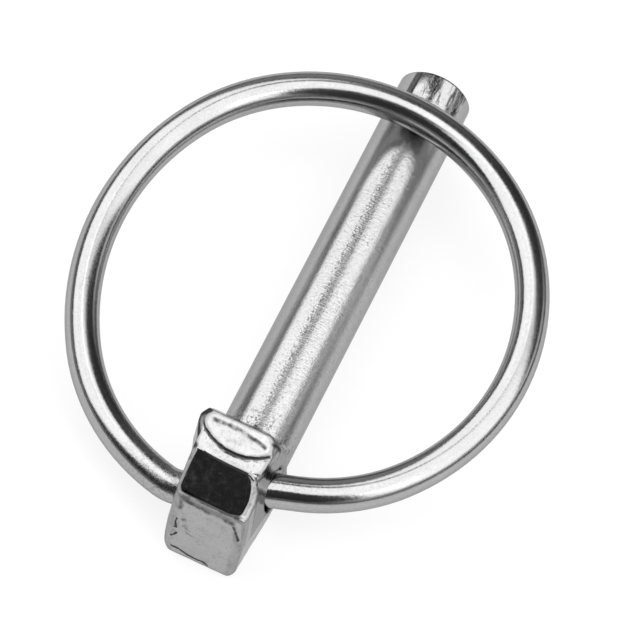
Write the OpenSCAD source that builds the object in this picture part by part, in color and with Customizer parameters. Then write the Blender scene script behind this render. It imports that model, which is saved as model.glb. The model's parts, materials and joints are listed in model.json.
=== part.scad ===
// Lynch pin: a plain shank with a forged head, and a spring wire ring that swings on an
// oblique hole through the head. The ring snaps down over the shank and keeps the pin in place.
//
// Frame: the shank runs along +X from the head's shoulder at X = 0 to the tip. +Z is the front of
// the head, the side that the closed ring lies on. The pin lies on its back, on the plane z = -back_z.

/* [Shank] */

// Diameter of the shank
shank_d = 6; // [5.6:0.05:6.3]
// Length from the head's shoulder to the tip
shank_l = 36.8; // [34:0.1:50]
// Chamfer around the tip
tip_chamfer = 0.25; // [0.1:0.05:0.6]
// Fillet where the shank leaves the shoulder
neck_r = 0.2; // [0.1:0.05:0.3]
// Width of the flat left around that fillet, where the head's side leans in past the shank
collar_w = 0.1; // [0.05:0.05:0.3]
// Length over which this collar runs out into the side of the head
collar_l = 1.4; // [0.8:0.1:2]

/* [Head] */

// Length of the head, from the shoulder to its end face
head_l = 9.15; // [8.9:0.05:11]
// Height of the front flat above the shank's axis
front_z = 5.0; // [4.6:0.05:5.4]
// Depth of the back flat below the shank's axis
back_z = 3.4; // [3.35:0.05:4.2]
// Height of the shoulder's front edge above the shank's axis
shoulder_z = 3.35; // [3.3:0.05:3.6]
// Width of the head at the shoulder
shoulder_w = 7.5; // [7.4:0.05:8.2]
// Width of the head at its end face
end_w = 6.15; // [5.5:0.05:6.5]
// How far the middle of the shoulder lies to the left of the shank
head_shift = 0.2; // [0:0.05:0.4]
// How far the middle of the end face lies to the left of the shank
end_shift = 0.2; // [-0.2:0.05:0.25]
// Width of the head across its back
back_w = 6.4; // [6.4:0.05:7]
// How far the middle of the back lies to the right of the shank
back_shift = 0.25; // [0:0.05:0.3]
// Width of the head across its front
front_w = 5.75; // [5.6:0.05:6.6]
// How far the middle of the front leans to the left of the shank
front_shift = 1.1; // [0.8:0.05:1.3]
// Depth below the axis where the right side starts to lean in
lean_z = 1.0; // [0:0.1:2]
// Rounding of the side where it starts to lean in
lean_r = 2.2; // [1:0.1:2.3]
// Rounding of the edge along the front flat's left side
front_left_r = 0.65; // [0.3:0.05:1]
// Rounding of the edge along the front flat's right side
front_right_r = 1.2; // [0.3:0.05:1.4]
// Rounding of the left back edge
back_left_r = 1.6; // [0.6:0.05:1.8]
// Rounding of the right back edge
back_right_r = 1.3; // [0.4:0.05:1.4]
// Rounding of the shoulder's left and right edges
shoulder_r = 0.25; // [0.1:0.05:0.3]
// Rounding of the end face's front and back edges
end_r = 0.45; // [0.2:0.05:0.8]
// Rounding of the end face's left edge
end_left_r = 1.1; // [0.3:0.05:1.3]
// Rounding of the end face's right edge
end_right_r = 0.9; // [0.3:0.05:1.2]

/* [Lip] */

// Height of the lip's edge above the shank's axis
lip_z = 5.74; // [5.5:0.02:6.4]
// How far the lip's edge stands back from the shoulder
lip_back = 1.5; // [1.2:0.05:1.8]
// Where the flare up to the lip starts, from the shoulder
flare_from = 4.65; // [4:0.05:6]
// Width of the lip
lip_w = 6.7; // [6.4:0.05:7.4]
// How far the lip's middle lies to the left of the shank
lip_shift = 0.95; // [0.8:0.05:1.2]
// Rounding of the lip's two corners
lip_r = 1.3; // [0.4:0.05:1.5]
// How far the lip stands out beyond the left side of the head
lip_step = 0.35; // [0.2:0.05:0.5]
// How much the flare narrows on the right, from the lip down to the front flat
lip_draft = 0.45; // [0.2:0.05:0.5]
// Radius of the hollow under the lip
scoop_r = 16; // [6:0.5:20]
// Radius of the rounded edge of the facet on the lip
facet_r = 4.0; // [3.6:0.1:6]
// How far the middle of the facet lies to the left of the shank
facet_shift = 0.8; // [0.5:0.05:1.2]
// Where the facet's rounded edge ends, from the shoulder
facet_from = 4.05; // [3.6:0.05:4.6]
// Bevel across the front right corner: its distance from the middle of the shoulder
right_bevel = 1.85; // [1.8:0.05:2.3]
// The same bevel's turn from the tip's direction, to the right
right_bevel_turn = 31; // [26:1:36]
// The same bevel's lift
right_bevel_lift = 25; // [20:1:30]
// Bevel across the lip's left corner: its distance from the middle of the shoulder
left_bevel = 4.5; // [4.45:0.05:4.75]
// The same bevel's turn from the tip's direction, to the left
left_bevel_turn = 63; // [58:1:68]
// The same bevel's lift
left_bevel_lift = 20; // [16:1:24]

/* [Hole] */

// Diameter of the hole for the ring
hole_d = 3.4; // [3.35:0.05:3.6]
// Widening of the hole's left mouth, which the ring's bend turns in
mouth_flare = 1.0; // [0.8:0.05:1.1]
// Where the hole crosses the shank's axis, from the shoulder
hole_x = 3.85; // [3.75:0.01:4]
// Slant of the hole, measured from square across the head
hole_slant = 26; // [18:0.5:27]

/* [Ring] */

// Diameter of the ring's wire
wire_d = 2.7; // [2:0.05:2.75]
// Gap left between the closed ring and the shank
seat_gap = 0.15; // [0.05:0.05:0.4]
// Bend radius of the wire's middle where its left end turns into the hole
bend_r = 3; // [2.2:0.1:4]
// Distance from the shank's axis to the start of that bend, along the hole
bend_from = 3.25; // [3.2:0.01:4]
// Radius of the ring beside the right end
right_foot_r = 15.2; // [12:0.1:24]
// Radius of the ring's right side
right_side_r = 18.05; // [14:0.05:24]
// Radius of the crown, which crosses the shank
crown_r = 16.4; // [13:0.05:22]
// Radius of the ring's left side
left_side_r = 21.45; // [16:0.05:26]
// Gap between the wire's two ends, inside the head
end_gap = 1.0; // [0.4:0.1:3]
// How far the right end is turned away from the line of the hole, which it sits in with some play
end_skew = 7; // [0:0.5:7]

/* [Hidden] */

$fn = 96;
eps = 0.02;

zinc = [0.74, 0.75, 0.76];
spring_steel = [0.68, 0.69, 0.70];

shank_r = shank_d / 2;
// How far the right side leans in below that depth, towards the back
side_draft = 0.1;
wire_r = wire_d / 2;

// Lap and step in diameter where two stretches of the wire join
joint_lap = 0.1;
joint_step = 0.01;
// How far the hole's widened mouth starts inside the hole, and how much narrower than it
flare_lap = 0.3;
flare_step = 0.2;
// How much steeper the front of the head is than the front of the lip
slope_gain = 1.1;
// Depth of the rounding of the lip's ends, seen from the front
lip_bulge = 0.3;

// Turns of the ring, counted from the hole's own direction: the wire leaves the right end of the
// hole near 0 and comes back into the left end at 360.
turn = [-end_skew, 24, 96, 216, 276, 322, 360];

// Height that an arc of radius 1 gains across the hole's direction, and its run along it
function rise(i) = cos(turn[i]) - cos(turn[i + 1]);
function run(i) = sin(turn[i + 1]) - sin(turn[i]);

// The right end crosses the line of the hole half way along its own length
half_skew = tan(end_skew) / 2;
right_inner = end_gap / 2;

// The left foot is the arc that brings the ring back onto the line of the hole
other_rise = right_foot_r * rise(0) + right_side_r * rise(1) + crown_r * rise(2)
    + left_side_r * rise(3) + bend_r * rise(5);
other_run = right_foot_r * run(0) + right_side_r * run(1) + crown_r * run(2)
    + left_side_r * run(3) + bend_r * run(5);
left_foot_r = -(other_rise + half_skew * (bend_from + other_run + right_inner))
    / (rise(4) + half_skew * run(4));
arc_r = [right_foot_r, right_side_r, crown_r, left_side_r, left_foot_r, bend_r];
last = len(arc_r) - 1;

// Where the right end leaves its straight run, along the hole and across it
right_from = -bend_from - other_run - left_foot_r * run(4);
right_drop = half_skew * (right_from - right_inner);

// The straight run laps into the first arc, as the arcs do into each other
lapped_start = [right_from, -right_drop] + joint_lap * [cos(end_skew), -sin(end_skew)];

// Point where arc i starts, in the ring's own plane
function arc_start(i) = i == 0
    ? [right_from, -right_drop]
    : arc_start(i - 1) + arc_r[i - 1] * [run(i - 1), rise(i - 1)];
function arc_middle(i) = arc_start(i) + arc_r[i] * [-sin(turn[i]), cos(turn[i])];

// How far the crown crosses the shank from the hole, measured in the ring's plane: where the line
// of the shank leaves the crown's circle
across = [sin(hole_slant), cos(hole_slant)];
crown_mid = arc_middle(2);
crown_off = crown_mid * [across[1], -across[0]];
crown_reach = crown_mid * across + sqrt(crown_r * crown_r - crown_off * crown_off);

// Tilt of the closed ring over the shank, set by what it lies on
ring_tilt = asin((shank_r + wire_r + seat_gap) / crown_reach);

function toward(a, b) = (b - a) / norm(b - a);

// Distance from a corner to where its rounding starts
function set_back(p, q, n, r) = r * tan(90 - acos(toward(p, q) * toward(p, n)) / 2);
function corner_middle(p, q, n, r) = p + toward(p, q) * set_back(p, q, n, r)
    + r * turned(toward(p, q), toward(p, n));
// Unit vector square to u, on the side of v
function turned(u, v) = let (w = [-u[1], u[0]]) w * v > 0 ? w : -w;

// Convex outline with a true arc at each corner
module rounded(points, radii) {
    n = len(points);
    polygon([for (i = [0:n - 1]) let (
        p = points[i],
        before = points[(i + n - 1) % n],
        after = points[(i + 1) % n],
        s = set_back(p, before, after, radii[i])
    ) each [p + toward(p, before) * s, p + toward(p, after) * s]]);
    for (i = [0:n - 1]) {
        translate(corner_middle(points[i], points[(i + n - 1) % n], points[(i + 1) % n], radii[i]))
            circle(r = radii[i]);
    }
}

// Lays a drawing of [Y, Z] square to the shank and runs it from x = a to x = b
module along_x(a, b) {
    translate([a, 0, 0])
        rotate([90, 0, 90])
            linear_extrude(b - a) children();
}

// Stands a drawing of [X, Z] beside the shank, as wide as the whole head
module across_y(w = 4 * shank_d) {
    rotate([90, 0, 0])
        linear_extrude(w, center = true) children();
}

// Puts things in the ring's frame: x along the hole to the right end, y towards the crown
module ring_frame() {
    translate([-hole_x, 0, 0])
        rotate([0, -ring_tilt, 0])
            rotate([0, 0, hole_slant - 90]) children();
}

// Outline of the head seen along the shank
module head_section() {
    right_back = -back_shift - back_w / 2;
    rounded([
        [right_back + back_w, -back_z],
        [right_back, -back_z],
        [right_back + side_draft, -lean_z],
        [front_shift - front_w / 2, front_z],
        [front_shift + front_w / 2, front_z]
    ], [back_left_r, back_right_r, lean_r, front_right_r, front_left_r]);
}

// Outline of the head seen from the front, narrower towards its end
module head_front_view() {
    rounded([
        [0, head_shift - shoulder_w / 2],
        [0, head_shift + shoulder_w / 2],
        [-head_l, end_shift + end_w / 2],
        [-head_l, end_shift - end_w / 2]
    ], [shoulder_r, shoulder_r, end_left_r, end_right_r]);
}

// Outline of the head seen from the side, without its lip. Above the shoulder it slopes back a
// little more than the lip's underside does.
module head_side_view() {
    slope_l = slope_gain * lip_back * (front_z - shoulder_z) / (lip_z - shoulder_z);
    rounded([
        [-head_l, -back_z],
        [0, -back_z],
        [0, shoulder_z],
        [-slope_l, front_z],
        [-head_l, front_z]
    ], [end_r, eps, eps, eps, end_r]);
}

// Side view of the flare that rises to the lip's edge and falls back to the shoulder
module lip_side_view() {
    polygon([
        [-flare_from, 0],
        [0, 0],
        [0, shoulder_z],
        [-lip_back, lip_z],
        [-flare_from, front_z]
    ]);
}

// Outline of the lip seen along the shank
module lip_section() {
    translate([lip_shift, 0])
        rounded([
            [-lip_w / 2, 0],
            [lip_w / 2, 0],
            [lip_w / 2, lip_z],
            [-lip_w / 2, lip_z]
        ], [lip_r, lip_r, lip_r, lip_r]);
}

// Outline of the flare seen from the front: it spreads to the lip's full width and draws in again
module lip_front_view() {
    left = lip_shift + lip_w / 2;
    right = lip_shift - lip_w / 2;
    polygon([
        [0, right + lip_bulge / 2],
        [-lip_back, right],
        [-flare_from, right + lip_draft],
        [-flare_from, left - 2 * lip_step],
        [-lip_back - 4 * lip_bulge, left - lip_step],
        [-lip_back - lip_bulge, left],
        [-lip_back + lip_bulge, left],
        [0, left - 4 * lip_bulge]
    ]);
}

// Hollow under the lip, which stops at the facet's rounded edge
module scoop() {
    low = [-flare_from, front_z];
    high = [-lip_back, lip_z];
    half = norm(high - low) / 2;
    middle = (low + high) / 2 + turned(toward(low, high), [0, 1]) * sqrt(scoop_r * scoop_r - half * half);
    difference() {
        translate([middle[0], 0, middle[1]])
            rotate([90, 0, 0])
                cylinder(r = scoop_r, h = 2 * lip_w, center = true);
        translate([facet_r - facet_from, facet_shift, 0])
            cylinder(r = facet_r, h = 3 * lip_z);
    }
}

// Foot of the shank, which runs out into the side of the head
module collar() {
    foot_r = shank_r + neck_r + collar_w;
    rotate([0, -90, 0]) {
        cylinder(r = foot_r, h = collar_w);
        translate([0, 0, collar_w])
            cylinder(r1 = foot_r, r2 = shank_r - neck_r, h = collar_l);
    }
}

// Everything beyond a flat that lies off from the shoulder's middle and faces turn degrees round
// from the tip's direction and lift degrees up
module beyond(off, turn, lift) {
    rotate([0, -lift, turn])
        translate([off, -2 * shank_d, -2 * shank_d])
            cube(4 * shank_d);
}

// Head with its lip, before the two bevels
module head_block() {
    intersection() {
        along_x(-head_l, 0) head_section();
        linear_extrude(4 * front_z, center = true) head_front_view();
        across_y() head_side_view();
    }
    difference() {
        intersection() {
            along_x(-flare_from, 0) lip_section();
            linear_extrude(4 * front_z, center = true) lip_front_view();
            across_y() lip_side_view();
        }
        scoop();
    }
}

// Forged head, before the hole is drilled
module head() {
    collar();
    difference() {
        head_block();
        beyond(right_bevel, -right_bevel_turn, right_bevel_lift);
        beyond(left_bevel, left_bevel_turn, left_bevel_lift);
    }
}

// Shank turned as one profile: neck fillet, plain length and chamfered tip
module shank() {
    rotate([0, 90, 0])
        rotate_extrude() {
            difference() {
                union() {
                    translate([0, -hole_x]) square([shank_r, hole_x + shank_l - tip_chamfer]);
                    square([shank_r + neck_r, neck_r]);
                    polygon([
                        [0, shank_l - tip_chamfer],
                        [shank_r, shank_l - tip_chamfer],
                        [shank_r - tip_chamfer, shank_l],
                        [0, shank_l]
                    ]);
                }
                translate([shank_r + neck_r, neck_r]) circle(r = neck_r);
            }
        }
}

// Shank and head forged in one, with the slanted hole for the ring
module pin() {
    color(zinc)
        difference() {
            union() {
                shank();
                head();
            }
            ring_frame() {
                rotate([0, 90, 0])
                    cylinder(d = hole_d, h = 3 * shoulder_w, center = true);
                translate([flare_lap - bend_from, 0, 0])
                    rotate([0, -90, 0])
                        cylinder(
                            d1 = hole_d - flare_step,
                            d2 = hole_d + 2 * mouth_flare,
                            h = shank_r + flare_lap
                        );
            }
        }
}

// Straight end of the wire, lying in the hole from point a to point b of the ring's plane
module wire_end(a, b, d) {
    translate([a[0], a[1], 0])
        rotate([0, 90, atan2(b[1] - a[1], b[0] - a[0])])
            cylinder(d = d, h = norm(b - a));
}

// Arc i of the ring. Every second arc is a hair thinner and laps into both neighbours, so that the
// arcs fuse into one wire.
module wire_arc(i) {
    thin = i % 2;
    lap = thin * joint_lap / arc_r[i] * 180 / PI;
    translate(arc_middle(i))
        rotate([0, 0, turn[i] - 90 - lap])
            rotate_extrude(angle = turn[i + 1] - turn[i] + 2 * lap)
                translate([arc_r[i], 0]) circle(d = wire_d - thin * joint_step);
}

// Spring wire ring: both ends in the hole, and arcs that run round over the shank
module ring() {
    color(spring_steel)
        ring_frame() {
            wire_end([right_inner, right_drop], lapped_start, wire_d - joint_step);
            wire_end([-bend_from, 0], [-right_inner, 0], wire_d);
            for (i = [0:last]) {
                wire_arc(i);
            }
        }
}

pin();
ring();
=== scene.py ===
"""Looks for a lynch pin: zinc plated steel on the forged pin and on its spring wire ring,
on a pale studio floor among soft panels."""

import json
import math

import bmesh
import bpy
import numpy as np
from mathutils import Matrix, Vector, noise


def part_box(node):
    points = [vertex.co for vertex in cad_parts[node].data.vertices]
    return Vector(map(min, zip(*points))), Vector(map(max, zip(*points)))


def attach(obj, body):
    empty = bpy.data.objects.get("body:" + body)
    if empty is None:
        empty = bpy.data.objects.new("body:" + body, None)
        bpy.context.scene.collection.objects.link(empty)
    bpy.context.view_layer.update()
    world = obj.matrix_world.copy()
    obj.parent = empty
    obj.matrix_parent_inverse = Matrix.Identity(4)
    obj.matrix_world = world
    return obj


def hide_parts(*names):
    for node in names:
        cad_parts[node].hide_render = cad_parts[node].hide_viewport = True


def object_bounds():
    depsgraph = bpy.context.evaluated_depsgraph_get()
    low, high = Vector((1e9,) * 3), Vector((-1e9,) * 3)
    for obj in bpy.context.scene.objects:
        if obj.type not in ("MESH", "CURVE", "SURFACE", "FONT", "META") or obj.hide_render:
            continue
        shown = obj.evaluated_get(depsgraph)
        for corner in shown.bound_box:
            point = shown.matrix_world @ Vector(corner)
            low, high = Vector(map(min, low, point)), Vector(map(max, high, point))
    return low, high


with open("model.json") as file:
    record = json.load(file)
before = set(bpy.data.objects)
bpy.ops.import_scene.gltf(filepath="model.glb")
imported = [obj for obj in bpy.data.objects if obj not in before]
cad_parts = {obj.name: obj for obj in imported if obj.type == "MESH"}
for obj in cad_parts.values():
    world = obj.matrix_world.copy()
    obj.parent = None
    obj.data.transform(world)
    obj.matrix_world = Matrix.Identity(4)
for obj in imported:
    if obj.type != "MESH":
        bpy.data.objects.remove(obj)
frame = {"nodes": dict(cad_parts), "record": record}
cad_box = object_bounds()

MM = 0.001


# ---------------------------------------------------------------- shader maths

class Value:
    """One number in a material. Python's operators on it add Math nodes."""

    def __init__(self, shades, socket):
        self.shades = shades
        self.socket = socket

    def math(self, operation, *others):
        inputs = {0: self}
        for i, other in enumerate(others):
            inputs[i + 1] = other
        return self.shades.add("ShaderNodeMath", {"operation": operation}, inputs)

    def flipped(self, operation, other):
        return self.shades.add("ShaderNodeMath", {"operation": operation}, {0: other, 1: self})

    def __add__(self, other):
        return self.math("ADD", other)

    def __radd__(self, other):
        return self.flipped("ADD", other)

    def __sub__(self, other):
        return self.math("SUBTRACT", other)

    def __rsub__(self, other):
        return self.flipped("SUBTRACT", other)

    def __mul__(self, other):
        return self.math("MULTIPLY", other)

    def __rmul__(self, other):
        return self.flipped("MULTIPLY", other)


class Shades:
    """One material's nodes. Every node that isn't plain maths comes from add()."""

    def __init__(self, tree):
        self.tree = tree
        tree.nodes.clear()

    def add(self, kind, settings=None, sockets=None, out=0):
        node = self.tree.nodes.new(kind)
        for name, value in (settings or {}).items():
            setattr(node, name, value)
        for name, value in (sockets or {}).items():
            if isinstance(value, Value):
                self.tree.links.new(value.socket, node.inputs[name])
            else:
                node.inputs[name].default_value = value
        if not node.outputs:
            return node
        return Value(self, node.outputs[out])

    def between(self, value, low, high):
        """0 at low and 1 at high, eased between them."""
        settings = {"interpolation_type": "SMOOTHSTEP"}
        return self.add("ShaderNodeMapRange", settings, {"Value": value, "From Min": low, "From Max": high})

    def noise(self, place, scale, detail=2.0, roughness=0.5):
        sockets = {"Vector": place, "Scale": scale, "Detail": detail, "Roughness": roughness}
        return self.add("ShaderNodeTexNoise", None, sockets)

    def stretched(self, place, factors):
        return self.add("ShaderNodeVectorMath", {"operation": "MULTIPLY"}, {0: place, 1: factors})

    def grey(self, value):
        """A neutral colour of that lightness."""
        sockets = {"Red": value, "Green": value, "Blue": value}
        return self.add("ShaderNodeCombineColor", None, sockets)

    def mixed(self, factor, first, second):
        """Number that goes from first to second."""
        settings = {"data_type": "FLOAT"}
        return self.add("ShaderNodeMix", settings, {"Factor": factor, 2: first, 3: second})


def new_material(name):
    material = bpy.data.materials.new(name)
    material.use_nodes = True
    return material, Shades(material.node_tree)


def object_place(s):
    """The point on the part, in millimetres, which moves with it."""
    place = s.add("ShaderNodeTexCoord", None, None, "Object")
    return s.add("ShaderNodeVectorMath", {"operation": "SCALE"}, {0: place, "Scale": 1 / MM})


def split(s, vector):
    """The vector's X, Y and Z."""
    node = s.add("ShaderNodeSeparateXYZ", None, {0: vector}).socket.node
    return [Value(s, node.outputs[i]) for i in range(3)]


DULL_RIM = 0.6        # how much of its mirror the plating keeps at a grazing look


def finished_metal(s, base, rough, normal):
    """Plated metal, duller towards its outline."""
    metal = s.add("ShaderNodeBsdfPrincipled", None, {
        "Base Color": base,
        "Roughness": rough,
        "Normal": normal,
        "Metallic": 1.0,
        "Specular Tint": (DULL_RIM, DULL_RIM, DULL_RIM, 1),
    })
    s.add("ShaderNodeOutputMaterial", None, {"Surface": metal})


# ---------------------------------------------------------------- forged skin of the pin

record = frame["record"]
pin_low, pin_high = (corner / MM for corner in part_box("pin"))
shank_mount = next(m for m in record["mounts"] if m["name"] == "shank")
SHANK_R = shank_mount["dims"]["r_mm"]
TIP_X = pin_high.x
CHAMFER = 0.25        # chamfer round the tip
SHANK_ROWS = 14       # rings of points along the turned shank

SKIN_STEP = 0.085     # size of one facet of the forged skin
SKIN_PASSES = 9       # rounds of easing, which set how soft the edges are
SKIN_ENDS = 1.2       # where the skin hands over to the turned shank
EDGE_EASING = 6       # rounds of easing of the measure of how sharp an edge is
NECK = (0.3, 0.5)     # the shank is exactly round beyond this stretch

# Places that the dies left short: the middle and reach of each, and how far it is pressed to the left
PRESSED = [
    ((-0.3, -3.6, 1.0), (1.5, 1.2, 2.4), 0.38),    # right corner of the shoulder
    ((-3.2, 4.1, 4.7), (1.7, 0.9, 1.2), -0.30),    # left side, between the lip and the front flat
]


def ease(value, low, high):
    """0 at low and 1 at high, eased between them."""
    t = np.clip((value - low) / (high - low), 0, 1)
    return t * t * (3 - 2 * t)


# Right edge of the front flat, which the forging fills out further than the CAD pin: at each
# distance from the shoulder, where the flat ends and where the bevel beside it ends
FULL_EDGE = [
    (-4.75, -0.95, -1.70),
    (-5.1, -1.45, -1.98),
    (-5.9, -1.84, -2.38),
    (-7.0, -2.11, -2.60),
    (-8.2, -2.12, -2.64),
    (-8.8, -1.9, -2.45),
]
FLAT_Z = 5.0          # height of the front flat
BEVEL_DROP = 0.16     # how far the bevel beside it falls away
LUMP_Z = 0.6          # depth that the filling reaches down to, well inside the head
LUMP_MID_Z = 3.0      # height at which the filling meets the head's right side


def full_edge():
    """Closed lump under the flat's right edge, to be fused with the head."""
    bm = bmesh.new()
    for x, flat, bevel in FULL_EDGE:
        outline = [(0, FLAT_Z), (flat, FLAT_Z), (bevel, FLAT_Z - BEVEL_DROP)]
        outline += [(bevel - 0.2, LUMP_MID_Z), (bevel - 0.35, LUMP_Z), (0, LUMP_Z)]
        for y, z in outline:
            bm.verts.new((x, y, z))
    for y, z in ((0, 4.6), (-1.5, 4.5), (-1.9, LUMP_MID_Z), (-2.0, LUMP_Z), (0, LUMP_Z)):
        bm.verts.new((-9.1, y, z))
    hull = bmesh.ops.convex_hull(bm, input=bm.verts)
    spare = [v for v in hull["geom_interior"] + hull["geom_unused"] if isinstance(v, bmesh.types.BMVert)]
    bmesh.ops.delete(bm, geom=list(set(spare)), context="VERTS")
    bmesh.ops.recalc_face_normals(bm, faces=bm.faces)
    mesh = bpy.data.meshes.new("full_edge")
    bm.to_mesh(mesh)
    bm.free()
    return mesh


def solid_head():
    """The head and a stub of the shank, cut from the CAD pin and closed, in millimetres."""
    bm = bmesh.new()
    bm.from_mesh(frame["nodes"]["pin"].data)
    bmesh.ops.scale(bm, vec=(1 / MM,) * 3, verts=bm.verts)
    bmesh.ops.remove_doubles(bm, verts=bm.verts, dist=1e-4)
    parts = bm.verts[:] + bm.edges[:] + bm.faces[:]
    stub = SKIN_ENDS + 1
    cut = bmesh.ops.bisect_plane(
        bm, geom=parts, dist=1e-6, plane_co=(stub, 0, 0), plane_no=(1, 0, 0), clear_outer=True
    )
    rim = [e for e in cut["geom_cut"] if isinstance(e, bmesh.types.BMEdge)]
    bmesh.ops.edgeloop_fill(bm, edges=rim)
    bm.from_mesh(full_edge())
    mesh = bpy.data.meshes.new("solid_head")
    bm.to_mesh(mesh)
    bm.free()
    return mesh


def fine_skin(mesh):
    """Even fine facets over the whole surface, with every edge eased as a forging's are."""
    work = bpy.data.objects.new("work", mesh)
    bpy.context.scene.collection.objects.link(work)
    remesh = work.modifiers.new("even", "REMESH")
    remesh.mode = "VOXEL"
    remesh.voxel_size = SKIN_STEP
    smooth = work.modifiers.new("ease", "SMOOTH")
    smooth.factor = 0.5
    smooth.iterations = SKIN_PASSES
    depsgraph = bpy.context.evaluated_depsgraph_get()
    skin = bpy.data.meshes.new_from_object(work.evaluated_get(depsgraph))
    bpy.data.objects.remove(work)
    return skin


def points_of(mesh):
    """Place of every point."""
    flat = np.zeros(len(mesh.vertices) * 3)
    mesh.vertices.foreach_get("co", flat)
    return flat.reshape(-1, 3)


def normals_of(mesh):
    """Outward direction at every point."""
    flat = np.zeros(len(mesh.vertices) * 3)
    mesh.vertex_normals.foreach_get("vector", flat)
    return flat.reshape(-1, 3)


def from_line(points, line):
    """Distance of every point from a broken line."""
    best = np.full(len(points), 1e9)
    for a, b in zip(line, line[1:]):
        a = np.array(a)
        d = np.array(b) - a
        t = np.clip((points - a) @ d / (d @ d), 0, 1)
        best = np.minimum(best, np.linalg.norm(points - a - t[:, None] * d, axis=1))
    return best


def ragged(points, scale, seed):
    """Slow noise at every point, about -1 to 1."""
    return np.array([noise.noise(Vector(p) * scale + Vector((seed, 0, 0))) for p in points])


def pairs_of(mesh):
    """The two ends of every edge, and how many edges meet at every point."""
    pairs = np.zeros(len(mesh.edges) * 2, dtype=np.int64)
    mesh.edges.foreach_get("vertices", pairs)
    a, b = pairs.reshape(-1, 2).T
    return a, b, np.maximum(np.bincount(pairs, minlength=len(mesh.vertices)), 1)


def ease_points(points, pairs, weight, rounds):
    """Draws every point towards the middle of its neighbours, by its weight in each round."""
    a, b, count = pairs
    for _ in range(rounds):
        for axis in range(points.shape[1]):
            column = points[:, axis]
            sums = np.bincount(a, column[b], len(points)) + np.bincount(b, column[a], len(points))
            points[:, axis] = column + weight * (sums / count - column)


def edges_of(mesh):
    """How sharply the surface bends outward at every point, per millimetre, eased a little."""
    points = points_of(mesh)
    normals = normals_of(mesh)
    pairs = pairs_of(mesh)
    a, b, count = pairs
    apart = points[b] - points[a]
    bend = ((normals[b] - normals[a]) * apart).sum(1) / np.maximum((apart ** 2).sum(1), 1e-9)
    level = (np.bincount(a, bend, len(points)) + np.bincount(b, bend, len(points))) / count
    level = level[:, None]
    ease_points(level, pairs, 0.5, EDGE_EASING)
    return level[:, 0]


def paint(mesh, name, values):
    """Keeps one number a point, for the finish to read."""
    layer = mesh.attributes.new(name, "FLOAT", "POINT")
    layer.data.foreach_set("value", values.astype(np.float32))


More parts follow.
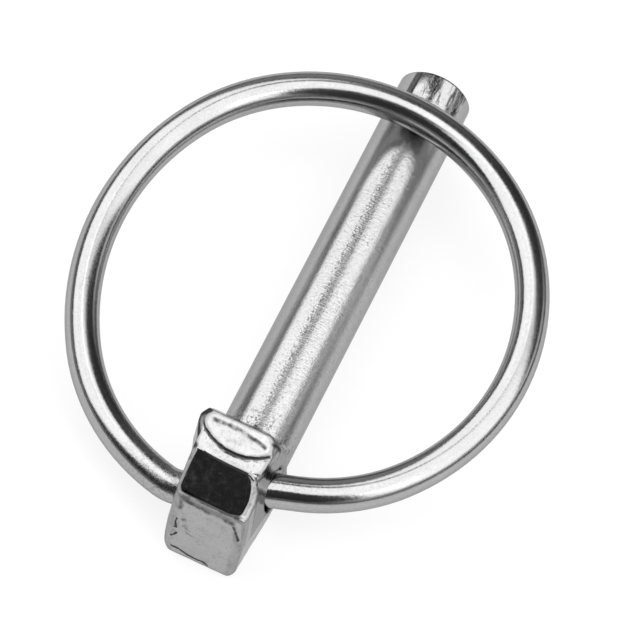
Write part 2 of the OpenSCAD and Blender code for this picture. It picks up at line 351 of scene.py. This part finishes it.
# Marks on the head, and lines of painted shade: the line of each, its width, its depth and how dark it is
DIE_MARKS_AND_SHADE = [
    # fold round the facet on the lip
    ([(-2.5, 4.0, 5.5), (-3.06, 3.47, 5.37), (-3.4, 2.9, 5.3), (-3.78, 2.06, 5.2), (-3.96, 1.27, 5.16),
      (-3.98, 0.43, 5.16), (-3.88, -0.36, 5.19), (-3.54, -1.25, 5.26), (-3.0, -2.02, 5.38)],
     0.13, 0.10, 1.0),
    # shallow fold across the facet
    ([(-2.14, 3.08, 5.59), (-2.09, 1.69, 5.6), (-2.08, 0.98, 5.6), (-2.3, -0.54, 5.55), (-2.55, -1.3, 5.5)],
     0.26, 0.035, 0.66),
    # dull patch on the facet, between the two folds
    ([(-3.1, 1.5, 5.36), (-3.1, 0.2, 5.38), (-2.95, -0.9, 5.42)], 0.40, 0.0, 0.42),
    # ridge along the top of the front flat
    ([(-4.62, 2.7, 5.0), (-4.8, 1.4, 5.0), (-4.87, 0.43, 5.0), (-4.87, -0.5, 5.0), (-4.9, -1.2, 5.0),
      (-5.1, -1.55, 4.95)], 0.11, 0.03, 0.0),
    # nicks on the left of the end face
    ([(-9.15, 2.51, 1.63), (-9.15, 2.56, 1.08), (-9.15, 2.38, 0.42)], 0.14, 0.09, 1.0),
    ([(-9.15, 2.36, 0.42), (-9.15, 2.62, 0.3)], 0.12, 0.07, 0.9),
    ([(-9.15, 2.2, -0.24), (-9.15, 2.36, -0.69), (-9.15, 2.7, -1.15)], 0.12, 0.06, 1.0),
    # scratches and a dull patch beside them
    ([(-9.15, 1.7, 0.95), (-9.15, 1.2, 0.7)], 0.09, 0.03, 0.62),
    ([(-9.15, 1.45, 0.3), (-9.15, 0.95, 0.2)], 0.09, 0.03, 0.62),
    ([(-9.15, 0.6, -0.2), (-9.15, 0.3, -0.6)], 0.07, 0.02, 0.5),
    ([(-9.15, 2.1, 2.9), (-9.15, 1.9, 1.6), (-9.15, 1.5, 0.6)], 0.42, 0.0, 0.42),
    # flash line along the back of the end face
    ([(-9.15, 2.3, -2.34), (-9.15, 1.74, -2.35), (-9.15, 0.88, -2.66), (-9.15, 0.15, -2.74),
      (-9.15, -0.42, -2.62), (-9.15, -0.76, -2.85)], 0.12, 0.06, 1.0),
    # scale left along the front edge of the end face, and round its left corner
    ([(-8.55, 2.6, 4.95), (-8.72, 1.2, 4.95), (-8.75, -0.5, 4.95), (-8.72, -1.9, 4.94)], 0.19, 0.0, 1.0),
    ([(-9.0, 2.4, 4.7), (-9.1, 1.2, 4.5), (-9.1, -0.6, 4.45), (-9.0, -1.5, 4.4)], 0.40, 0.0, 0.55),
    ([(-8.9, 2.5, 4.85), (-9.1, 2.45, 4.0), (-9.1, 2.43, 3.4)], 0.35, 0.0, 0.6),
    # smudges on the bevel beside the front flat; above the hole, a line of painted shade
    ([(-5.6, -1.98, 4.95), (-7.0, -2.25, 4.93), (-8.3, -2.25, 4.93)], 0.25, 0.0, 0.42),
    ([(-3.36, -2.13, 3.54), (-4.04, -2.03, 3.91), (-5.37, -2.04, 4.8)], 0.26, 0.0, 0.72),
    # painted shade along the top of the hole's mouth, where shade falls
    ([(-0.6, -2.7, 0.3), (-2.12, -2.5, 2.06), (-3.13, -2.33, 2.74)], 0.22, 0.0, 0.85),
    # scale on the lip's two corners
    ([(-1.9, 4.2, 4.28), (-1.83, 4.1, 5.01), (-1.6, 3.7, 5.5)], 0.36, 0.0, 1.0),
    ([(-1.99, -1.8, 5.5), (-1.84, -2.19, 5.06), (-1.35, -2.3, 4.0)], 0.27, 0.0, 1.0),
    # painted shade down the left side, from the lip to the front flat, where the outline mirrors floor in
    # the head's shadow
    ([(-1.9, 4.2, 4.2), (-2.5, 3.98, 3.9), (-3.4, 3.72, 4.3), (-4.2, 3.58, 4.75), (-4.6, 3.5, 4.9)],
     0.30, 0.0, 1.0),
    # crease down the right of the end face
    ([(-9.07, -1.82, 4.04), (-9.03, -2.22, 3.06), (-8.93, -2.48, 2.2)], 0.15, 0.07, 1.0),
]

# Places at the shoulder's right corner that have worn smooth: the middle and reach of each
WORN_SMOOTH = [
    ((-0.3, -3.6, 1.0), (1.5, 1.2, 2.4)),
    ((0.0, -2.4, 2.0), (0.9, 0.9, 1.3)),
]


def worked_skin(skin):
    """Presses the marks and the forging's unevenness into the head, and notes where they are and where
    shade is painted.
    """
    points = points_of(skin)
    normals = normals_of(skin)
    on_head = 1 - ease(points[:, 0], -0.6, -0.1)
    marks = np.zeros(len(points))
    stain = np.zeros(len(points))
    # stain also takes the lines of painted shade in the list
    for line, width, depth, dark in DIE_MARKS_AND_SHADE:
        profile = np.exp(-(from_line(points, line) / width) ** 2)
        marks = np.maximum(marks, depth * profile)
        stain = np.maximum(stain, dark * profile)
    flat = ease(points[:, 2], 4.8, 4.95) * ease(-points[:, 0], 4.7, 5.0)
    waves = 0.035 * (1 + ragged(points, 0.42, 3.0))
    uneven = waves + (0.022 - 0.018 * flat) * (1 + ragged(points, 1.7, 9.0))
    points -= normals * ((marks + 0.6 * uneven) * on_head)[:, None]

    for middle, reach, push in PRESSED:
        near = 1 - ease(np.linalg.norm((points - middle) / reach, axis=1), 0.2, 1.0)
        points[:, 1] += push * near * (1 - ease(points[:, 0], 0.0, 0.3))
    for middle, reach in WORN_SMOOTH:
        away = np.linalg.norm((points - middle) / reach, axis=1)
        ease_points(points, pairs_of(skin), 0.5 * (1 - ease(away, 0.5, 1.2)), 40)

    rounded = ease(points[:, 0], *NECK)
    reach = np.hypot(points[:, 1], points[:, 2])
    exact = 1 + rounded * (SHANK_R / np.maximum(reach, 1e-6) - 1)
    points[:, 1:] *= np.where(reach > 0.5 * SHANK_R, exact, 1)[:, None]
    points = np.clip(points, np.array(pin_low), np.array(pin_high))
    skin.vertices.foreach_set("co", points.ravel())
    skin.update()
    paint(skin, "die_mark_and_shade", stain * on_head)
    paint(skin, "edge", edges_of(skin))
    return skin


def with_shank(skin):
    """Cuts the stub square and draws the turned shank out of its rim, down to the tip's chamfer."""
    bm = bmesh.new()
    bm.from_mesh(skin)
    parts = bm.verts[:] + bm.edges[:] + bm.faces[:]
    cut = bmesh.ops.bisect_plane(
        bm, geom=parts, dist=1e-4, plane_co=(SKIN_ENDS, 0, 0), plane_no=(1, 0, 0), clear_outer=True
    )
    rim = [e for e in cut["geom_cut"] if isinstance(e, bmesh.types.BMEdge)]
    rows = [(x, SHANK_R) for x in np.linspace(SKIN_ENDS + 0.6, TIP_X - CHAMFER - 0.08, SHANK_ROWS)]
    rows += [
        (TIP_X - CHAMFER, SHANK_R - 0.01),
        (TIP_X - CHAMFER + 0.07, SHANK_R - 0.07),
        (TIP_X - 0.05, SHANK_R - CHAMFER + 0.04),
        (TIP_X, SHANK_R - CHAMFER - 0.06),
        (TIP_X, SHANK_R - CHAMFER - 0.3),
    ]
    for x, r in rows:
        grown = bmesh.ops.extrude_edge_only(bm, edges=rim)["geom"]
        rim = [e for e in grown if isinstance(e, bmesh.types.BMEdge)]
        for v in (e for e in grown if isinstance(e, bmesh.types.BMVert)):
            out = Vector((0, v.co.y, v.co.z)).normalized()
            v.co = Vector((x, 0, 0)) + out * r
    bmesh.ops.edgeloop_fill(bm, edges=rim)
    bmesh.ops.recalc_face_normals(bm, faces=bm.faces)
    bmesh.ops.scale(bm, vec=(MM,) * 3, verts=bm.verts)
    mesh = bpy.data.meshes.new("forged_pin")
    bm.to_mesh(mesh)
    bm.free()
    mesh.polygons.foreach_set("use_smooth", [True] * len(mesh.polygons))
    return mesh


def forged_pin():
    """The pin as forged and turned, which stands for the CAD pin."""
    piece = bpy.data.objects.new("forged_pin", with_shank(worked_skin(fine_skin(solid_head()))))
    bpy.context.scene.collection.objects.link(piece)
    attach(piece, "pin")
    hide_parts("pin")
    return piece


# ---------------------------------------------------------------- finishes

SHANK_GREY = 0.42     # lightness of the clean plate on each piece
HEAD_GREY = 0.395
WIRE_GREY = 0.40
GRIME_AND_SHADE_GREY = 0.05     # lightness of scale, of the bottom of a fold and of painted shade
SHANK_ROUGH = 0.19    # how rough the clean plate is
HEAD_ROUGH = 0.15
WIRE_ROUGH = 0.17


def plated_pin():
    """Zinc plate: satin with lines turned round the shank, smoother and brighter on the forged head."""
    material, s = new_material("zinc_plated_forging")
    place = object_place(s)
    x, y, z = split(s, place)
    on_head = s.between(x, 0.25, -0.25)
    # how dark the marks are, painted shade on the left side and above the hole included
    mark = s.add("ShaderNodeAttribute", {"attribute_name": "die_mark_and_shade"}, None, "Fac")
    bend = s.add("ShaderNodeAttribute", {"attribute_name": "edge"}, None, "Fac")

    # grain of every size, from lines round the shank to slow clouds
    turned = s.noise(s.stretched(place, (9.0, 1.6, 1.6)), 1.0, 2.0, 0.6)
    streaks = s.noise(s.stretched(place, (0.5, 2.4, 2.4)), 1.0, 4.0, 0.65)
    speckle = s.noise(place, 6.5, 3.0, 0.62)
    burrs = s.noise(place, 3.2, 4.0, 0.75)
    blotch = s.noise(place, 1.6, 3.0, 0.6)
    cloud = s.noise(place, 0.55, 3.0, 0.55)

    # places: beside the lip, the tip and the painted shade round its rim, the right side of the shank and
    # its worn seam, the front flat and the edge below it
    near_lip = s.between(x, 2.4, 0.6) * s.between(z, 0.0, 2.0)
    near_tip = s.between(x, TIP_X - 3.0, TIP_X - 2.2)
    scuffed = near_tip * s.between(y, 1.3, 0.5) * s.between(y, -2.7, -2.3)
    # painted shade: a thin band round the tip's chamfer, darkened for the shade of its rounded edge
    rim = s.between(x, TIP_X - 0.34, TIP_X - 0.27) * s.between(x, TIP_X - 0.16, TIP_X - 0.23)
    right_side = s.between(y, 0.6, 0.3)
    seam = s.between(y, 0.10, 0.28) * s.between(y, 0.66, 0.48) * (1 - near_tip)
    on_front = s.between(z, 4.88, 4.94) * s.between(x, -4.6, -4.8)
    front_edge = s.between(x, -8.78, -8.9) * s.between(z, 4.3, 4.6)

    # wear and dirt, and the painted shade that comes with the marks
    pits = s.between(speckle, 0.37, 0.31) * (1 - on_head) * (0.3 + 0.5 * right_side)
    pits = pits + near_lip * s.between(burrs, 0.45, 0.38)
    # scale in the marks, and painted shade where the list paints it
    grime_and_shade = s.between(mark * (0.1 + 1.8 * blotch), 0.25, 0.8)
    worn = s.between(bend, 0.25, 0.9) * on_head
    smudge = s.between(blotch, 0.52, 0.70)
    freckle = s.between(speckle, 0.38, 0.30)

    shank_base = SHANK_GREY + 0.20 * (speckle - 0.5) + 0.05 * (cloud - 0.5) - 0.24 * pits
    # 0.25 * rim is painted shade on the tip's rim
    shank_base = shank_base - 0.30 * scuffed * s.between(streaks, 0.50, 0.40) - 0.25 * rim
    shank_base = shank_base - 0.20 * seam * s.between(speckle, 0.52, 0.36)
    head_base = HEAD_GREY + 0.08 * (cloud - 0.5) + 0.14 * (speckle - 0.5)
    head_base = head_base - 0.08 * worn - 0.10 * freckle - 0.06 * smudge - 0.12 * on_front
    head_base = s.mixed(grime_and_shade, head_base, GRIME_AND_SHADE_GREY)
    base = s.mixed(on_head, shank_base, head_base)

    shank_rough = SHANK_ROUGH + 0.16 * (speckle - 0.5) + 0.15 * pits - 0.10 * near_tip
    head_rough = HEAD_ROUGH + 0.14 * (blotch - 0.5) + 0.12 * (speckle - 0.5) * (1 - 0.8 * on_front)
    head_rough = head_rough + 0.2 * grime_and_shade * (1 - on_front) + 0.22 * worn - (0.07 - 0.03 * smudge) * on_front
    head_rough = head_rough + 0.35 * front_edge
    rough = s.mixed(on_head, shank_rough, head_rough)

    turned_height = (0.007 + 0.017 * right_side) * turned + (0.011 + 0.005 * right_side) * speckle
    turned_height = turned_height - 0.010 * pits
    shank_height = s.mixed(near_tip, turned_height, 0.045 * scuffed * streaks + 0.003 * speckle)
    head_height = (0.010 * cloud + 0.010 * blotch + 0.006 * speckle) * (1 - 0.92 * on_front)
    head_height = head_height - 0.002 * on_front * s.between(speckle, 0.30, 0.24)
    normal = s.add("ShaderNodeBump", None, {
        "Strength": 1.0,
        "Distance": MM,
        "Height": s.mixed(on_head, shank_height, head_height),
    })
    finished_metal(s, s.grey(base), rough, normal)
    return material


def ring_plane():
    """Middle of the ring, the way square to it, and two ways across it."""
    points = points_of(frame["nodes"]["ring"].data) / MM
    middle = points.mean(0)
    ways = np.linalg.svd(points - middle, full_matrices=False)[2]
    return middle, ways[2], ways[0], ways[1]


def plated_wire():
    """Zinc plate over drawn spring wire: smooth, with fine lines along the wire."""
    material, s = new_material("zinc_plated_wire")
    place = object_place(s)
    facing = s.add("ShaderNodeTexCoord", None, None, "Normal")
    middle, square, first, second = ring_plane()

    def along(vector, way):
        settings = {"operation": "DOT_PRODUCT"}
        return s.add("ShaderNodeVectorMath", settings, {0: vector, 1: tuple(way)}, "Value")

    round_wire = along(facing, square)
    lines_at = s.add("ShaderNodeCombineXYZ", None, {
        "X": 7.0 * round_wire,
        "Y": 0.09 * along(place, first),
        "Z": 0.09 * along(place, second),
    })
    draw_lines = s.noise(lines_at, 1.0, 4.0, 0.6)
    cloud = s.noise(place, 0.4, 3.0, 0.55)
    speckle = s.noise(place, 5.5, 3.0, 0.6)
    from_head = s.add("ShaderNodeVectorMath", {"operation": "LENGTH"}, {
        0: s.add("ShaderNodeVectorMath", {"operation": "ADD"}, {0: place, 1: (4.0, 0.0, 0.0)}),
    }, "Value")
    near_head = s.between(from_head, 11.0, 4.0)
    on_left = s.between(split(s, place)[1], -2.0, 1.0)
    stain = near_head * (0.30 + 0.70 * on_left) * s.between(s.noise(place, 3.2, 4.0, 0.7), 0.44, 0.66)

    base = WIRE_GREY + 0.14 * (draw_lines - 0.5) + 0.06 * (cloud - 0.5)
    base = base + 0.16 * (speckle - 0.5) - 0.12 * stain
    rough = WIRE_ROUGH + 0.18 * (draw_lines - 0.5) + 0.14 * (speckle - 0.5) + 0.16 * stain
    rough = rough - 0.03 * near_head * (1 - on_left)
    normal = s.add("ShaderNodeBump", None, {
        "Strength": 1.0,
        "Distance": MM,
        "Height": 0.006 * draw_lines + 0.005 * speckle - 0.004 * stain,
    })
    finished_metal(s, s.grey(base), rough, normal)
    return material


ring = frame["nodes"]["ring"]
pin = forged_pin()
for piece, material in ((pin, plated_pin()), (ring, plated_wire())):
    piece.data.materials.clear()
    piece.data.materials.append(material)


# ---------------------------------------------------------------- studio

ROOM_LIGHT = 0.045    # light from the room where it holds no wall
FLOOR_GLOW = 1.04     # level at which the floor shows as white
FLOOR_MIX = 0.8       # share of that level which is seen, beside the floor's own shade


def studio_floor():
    """Wide pale floor that sweeps up into a low rim all round."""
    flat_r = 2.6
    sweep_r = 0.4
    rim_h = 0.7
    turns = 96
    floor_z = cad_box[0].z
    profile = [(0.0, 0.0)]
    profile += [(flat_r * k / 4, 0.0) for k in range(1, 5)]
    for k in range(1, 9):
        a = math.radians(90 * k / 8)
        profile.append((flat_r + sweep_r * math.sin(a), sweep_r * (1 - math.cos(a))))
    profile.append((flat_r + sweep_r, rim_h))
    points = [(0.0, 0.0, floor_z)]
    for k in range(turns):
        a = 2 * math.pi * k / turns
        points += [(r * math.cos(a), r * math.sin(a), floor_z + h) for r, h in profile[1:]]
    rows = len(profile) - 1
    faces = []
    for k in range(turns):
        here = 1 + k * rows
        there = 1 + (k + 1) % turns * rows
        faces.append((0, here, there))
        for i in range(rows - 1):
            faces.append((here + i, here + i + 1, there + i + 1, there + i))
    mesh = bpy.data.meshes.new("studio_floor")
    mesh.from_pydata(points, [], faces)
    mesh.polygons.foreach_set("use_smooth", [True] * len(mesh.polygons))
    floor = bpy.data.objects.new("studio_floor", mesh)
    bpy.context.scene.collection.objects.link(floor)

    material, s = new_material("pale_floor")
    paper = s.add("ShaderNodeBsdfDiffuse", None, {"Color": (0.9, 0.9, 0.9, 1)})
    glow = s.add("ShaderNodeEmission", None, {"Color": (1, 1, 1, 1), "Strength": FLOOR_GLOW})
    rays = s.add("ShaderNodeLightPath", None, None, "Is Camera Ray")
    outputs = rays.socket.node.outputs
    place = s.add("ShaderNodeTexCoord", None, None, "Object")
    out = s.add("ShaderNodeVectorMath", {"operation": "LENGTH"}, {0: place}, "Value")
    mirrored = Value(s, outputs["Is Glossy Ray"]) + Value(s, outputs["Is Transmission Ray"])
    seen = rays + mirrored * s.between(out, flat_r, 0.9 * flat_r)
    mix = s.add("ShaderNodeMixShader", None, {0: seen * FLOOR_MIX, 1: paper, 2: glow})
    s.add("ShaderNodeOutputMaterial", None, {"Surface": mix})
    mesh.materials.append(material)


def soft_panel(name, azimuth, elevation, size, radiance, turn=0.0, only=None):
    """Soft box one metre away, facing the part. Its radiance is what a mirror would show of it.
    It lights nothing but the one piece if only is given."""
    a = math.radians(azimuth)
    e = math.radians(elevation)
    away = Vector((math.cos(a) * math.cos(e), math.sin(a) * math.cos(e), math.sin(e)))
    light = bpy.data.lights.new(name, "AREA")
    light.shape = "RECTANGLE"
    light.size = size[0]
    light.size_y = size[1]
    light.energy = radiance * math.pi * size[0] * size[1]
    lamp = bpy.data.objects.new(name, light)
    bpy.context.scene.collection.objects.link(lamp)
    facing = away.to_track_quat("Z", "Y") @ Matrix.Rotation(math.radians(turn), 3, "Z").to_quaternion()
    lamp.rotation_mode = "QUATERNION"
    lamp.rotation_quaternion = facing
    lamp.location = away + (cad_box[0] + cad_box[1]) / 2
    lamp.visible_camera = False
    if only:
        lit = bpy.data.collections.new(name + "_lights")
        lit.objects.link(only)
        lamp.light_linking.receiver_collection = lit


def studio_world():
    """Dark room with a paler wall on the right and behind the tip, and a bright gap overhead."""
    world = bpy.data.worlds.new("studio_room")
    world.use_nodes = True
    s = Shades(world.node_tree)
    way = s.add("ShaderNodeTexCoord", None, None, "Generated")
    x, y, z = split(s, way)
    right_wall = s.between(-1.0 * y, 0.45, 0.8) * s.between(z, 0.48, 0.38)
    tip_wall = s.between(x, 0.55, 0.85) * s.between(y, -0.3, 0.3) * s.between(z, 0.9, 0.6)
    top_gap = s.between(y, 0.13, 0.17) * s.between(y, 0.27, 0.23) * s.between(z, 0.90, 0.95)
    strength = ROOM_LIGHT + 0.85 * right_wall + 0.35 * tip_wall + 1.8 * top_gap
    room = s.add("ShaderNodeBackground", None, {"Color": (1, 1, 1, 1), "Strength": strength})
    s.add("ShaderNodeOutputWorld", None, {"Surface": room})
    bpy.context.scene.world = world


def camera():
    """Looks down on the head's front, along the shank towards its tip."""
    data = bpy.data.cameras.new("camera")
    data.sensor_width = 36
    data.lens = 316.6
    data.clip_start = 0.01
    data.clip_end = 20
    cam = bpy.data.objects.new("camera", data)
    bpy.context.scene.collection.objects.link(cam)
    right = Vector((0.39043, -0.90560, 0.16567))
    up = Vector((0.75283, 0.41763, 0.50875))
    back = Vector((-0.52992, -0.07391, 0.84482))
    turned = Matrix((right, up, back)).transposed().to_4x4()
    cam.matrix_world = Matrix.Translation((-0.216764, -0.032143, 0.366587)) @ turned
    bpy.context.scene.camera = cam


studio_floor()
studio_world()
soft_panel("left_panel", 84, 50, (1.45, 1.0), 2.15)
soft_panel("right_panel", 268, 62, (0.84, 1.54), 2.2)
soft_panel("side_panel", 236, 40, (0.28, 0.54), 2.2)
soft_panel("shank_panel", 325.5, 47.8, (0.74, 0.50), 2.0, 40.3, only=pin)
camera()
bpy.context.scene.view_settings.view_transform = "Standard"
